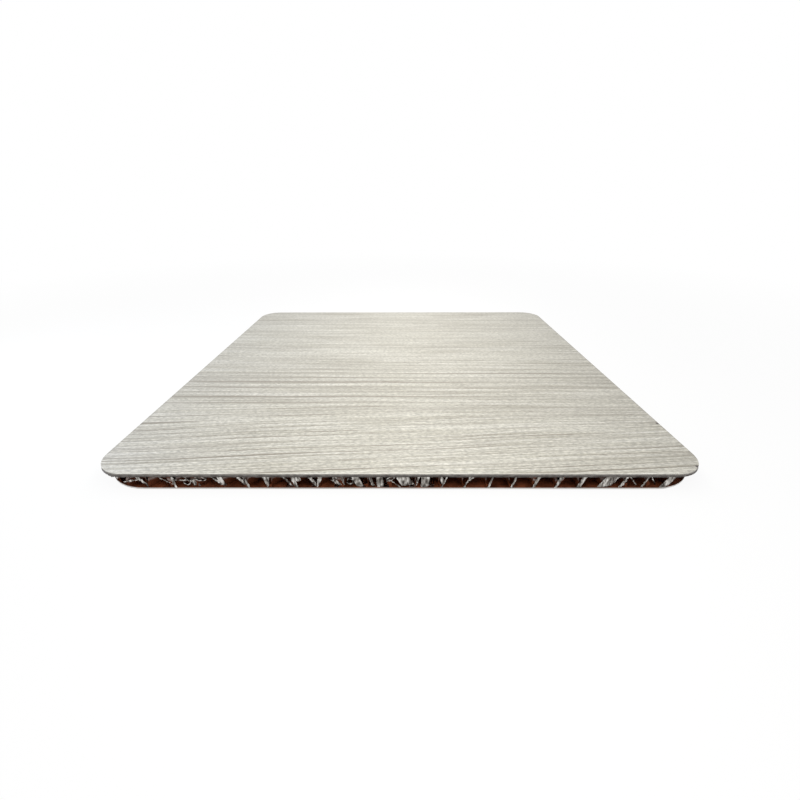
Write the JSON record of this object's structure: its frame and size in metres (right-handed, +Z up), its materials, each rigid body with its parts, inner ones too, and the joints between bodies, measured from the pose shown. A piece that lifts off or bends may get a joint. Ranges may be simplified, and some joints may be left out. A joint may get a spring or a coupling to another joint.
{
  "type": "aluminium honeycomb panel",
  "caption": "Flat square sandwich panel with a pale woodgrain face, rounded corners and open sawn edges that show the aluminium foil honeycomb core; a light, stiff board for cladding.",
  "frame": {"origin": "middle of the underside of the back sheet", "axes": "+X to the right along the front edge, +Y from the front edge to the back edge, +Z up through the woodgrain face"},
  "size_m": [0.2, 0.2, 0.006],
  "materials": {
    "decor_film": "satin woodgrain decor film",
    "face_sheet": "mill finish, sawn edge",
    "adhesive": "cured reddish-brown adhesive film",
    "core_foil": "bright foil, torn along the cut",
    "back_sheet": "mill finish"
  },
  "bodies": {
    "root": {"decor_film": "decor_film", "face_sheet": "face_sheet", "face_glue": "adhesive", "core_ribbon_01": "core_foil", "core_ribbon_02": "core_foil", "core_ribbon_03": "core_foil", "core_ribbon_04": "core_foil", "core_ribbon_05": "core_foil", "core_ribbon_06": "core_foil", "core_ribbon_07": "core_foil", "core_ribbon_08": "core_foil", "core_ribbon_09": "core_foil", "core_ribbon_10": "core_foil", "core_ribbon_11": "core_foil", "core_ribbon_12": "core_foil", "core_ribbon_13": "core_foil", "core_ribbon_14": "core_foil", "core_ribbon_15": "core_foil", "core_ribbon_16": "core_foil", "core_ribbon_17": "core_foil", "core_ribbon_18": "core_foil", "core_ribbon_19": "core_foil", "core_ribbon_20": "core_foil", "core_ribbon_21": "core_foil", "core_ribbon_22": "core_foil", "core_ribbon_23": "core_foil", "core_ribbon_24": "core_foil", "core_ribbon_25": "core_foil", "core_ribbon_26": "core_foil", "core_ribbon_27": "core_foil", "core_ribbon_28": "core_foil", "core_ribbon_29": "core_foil", "core_ribbon_30": "core_foil", "core_ribbon_31": "core_foil", "core_ribbon_32": "core_foil", "core_ribbon_33": "core_foil", "core_ribbon_34": "core_foil", "core_ribbon_35": "core_foil", "core_ribbon_36": "core_foil", "core_ribbon_37": "core_foil", "core_ribbon_38": "core_foil", "core_ribbon_39": "core_foil", "core_ribbon_40": "core_foil", "core_ribbon_41": "core_foil", "core_ribbon_42": "core_foil", "core_ribbon_43": "core_foil", "core_ribbon_44": "core_foil", "core_ribbon_45": "core_foil", "core_ribbon_46": "core_foil", "core_ribbon_47": "core_foil", "core_ribbon_48": "core_foil", "core_ribbon_49": "core_foil", "core_ribbon_50": "core_foil", "core_ribbon_51": "core_foil", "core_ribbon_52": "core_foil", "core_ribbon_53": "core_foil", "back_glue": "adhesive", "back_sheet": "back_sheet"}
  },
  "joints": []
}
